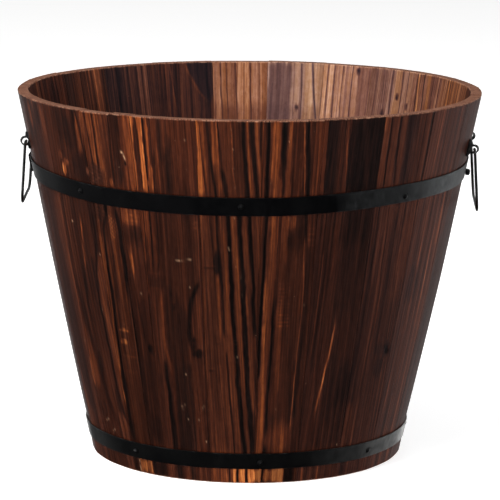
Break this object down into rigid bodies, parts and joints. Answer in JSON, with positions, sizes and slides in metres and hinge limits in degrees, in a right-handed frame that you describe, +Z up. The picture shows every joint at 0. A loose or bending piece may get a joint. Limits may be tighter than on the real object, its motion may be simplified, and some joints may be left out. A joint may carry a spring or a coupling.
{
  "type": "wooden barrel planter",
  "caption": "Tapered round planter tub of burnt wooden staves with black steel hoops, a planked bottom with a drain hole, and swinging wire handles.",
  "frame": {"origin": "centre of the base, on the surface that the planter stands on", "axes": "+Z up along the tub's axis, -Y the front as pictured, +X to the right, with a handle at +X and another at -X"},
  "size_m": [0.3896, 0.3896, 0.307],
  "materials": {
    "burnt_wood": "burnt softwood with a thin reddish-brown satin stain, dark grain lines and lighter orange streaks",
    "bottom_wood": "sawn softwood with a thin brown stain",
    "black_hoop_steel": "satin black paint on strip steel",
    "black_wire": "semi-gloss black on round wire",
    "black_saddle_steel": "semi-gloss black on bent strap",
    "black_nail_steel": "blackened steel, satin"
  },
  "bodies": {
    "tub": {"stave_01": "burnt_wood", "stave_02": "burnt_wood", "stave_03": "burnt_wood", "stave_04": "burnt_wood", "stave_05": "burnt_wood", "stave_06": "burnt_wood", "stave_07": "burnt_wood", "stave_08": "burnt_wood", "stave_09": "burnt_wood", "stave_10": "burnt_wood", "stave_11": "burnt_wood", "stave_12": "burnt_wood", "stave_13": "burnt_wood", "stave_14": "burnt_wood", "stave_15": "burnt_wood", "stave_16": "burnt_wood", "stave_17": "burnt_wood", "stave_18": "burnt_wood", "stave_19": "burnt_wood", "stave_20": "burnt_wood", "stave_21": "burnt_wood", "stave_22": "burnt_wood", "stave_23": "burnt_wood", "stave_24": "burnt_wood", "bottom_board_1": "bottom_wood", "bottom_board_2": "bottom_wood", "bottom_board_3": "bottom_wood", "bottom_board_4": "bottom_wood", "bottom_board_5": "bottom_wood", "bottom_cleat_left": "bottom_wood", "bottom_cleat_right": "bottom_wood", "cleat_nails": "black_nail_steel", "upper_hoop": "black_hoop_steel", "lower_hoop": "black_hoop_steel", "upper_hoop_nails": "black_nail_steel", "lower_hoop_nails": "black_nail_steel", "hoop_rivets": "black_nail_steel", "left_front_saddle": "black_saddle_steel", "left_back_saddle": "black_saddle_steel", "right_front_saddle": "black_saddle_steel", "right_back_saddle": "black_saddle_steel", "saddle_nails": "black_nail_steel"},
    "left_bail": {"left_handle": "black_wire"},
    "right_bail": {"right_handle": "black_wire"}
  },
  "joints": [
    {"name": "left_handle_swing", "type": "hinge", "parent": "tub", "child": "left_bail", "pos_m": [-0.1855, 0, 0.2655], "axis": [0, 1, 0], "range_deg": [-12, 167]},
    {"name": "right_handle_swing", "type": "hinge", "parent": "tub", "child": "right_bail", "pos_m": [0.18779, -0.00656, 0.2625], "axis": [-0.0349, -0.9994, 0], "range_deg": [-13, 168]}
  ]
}
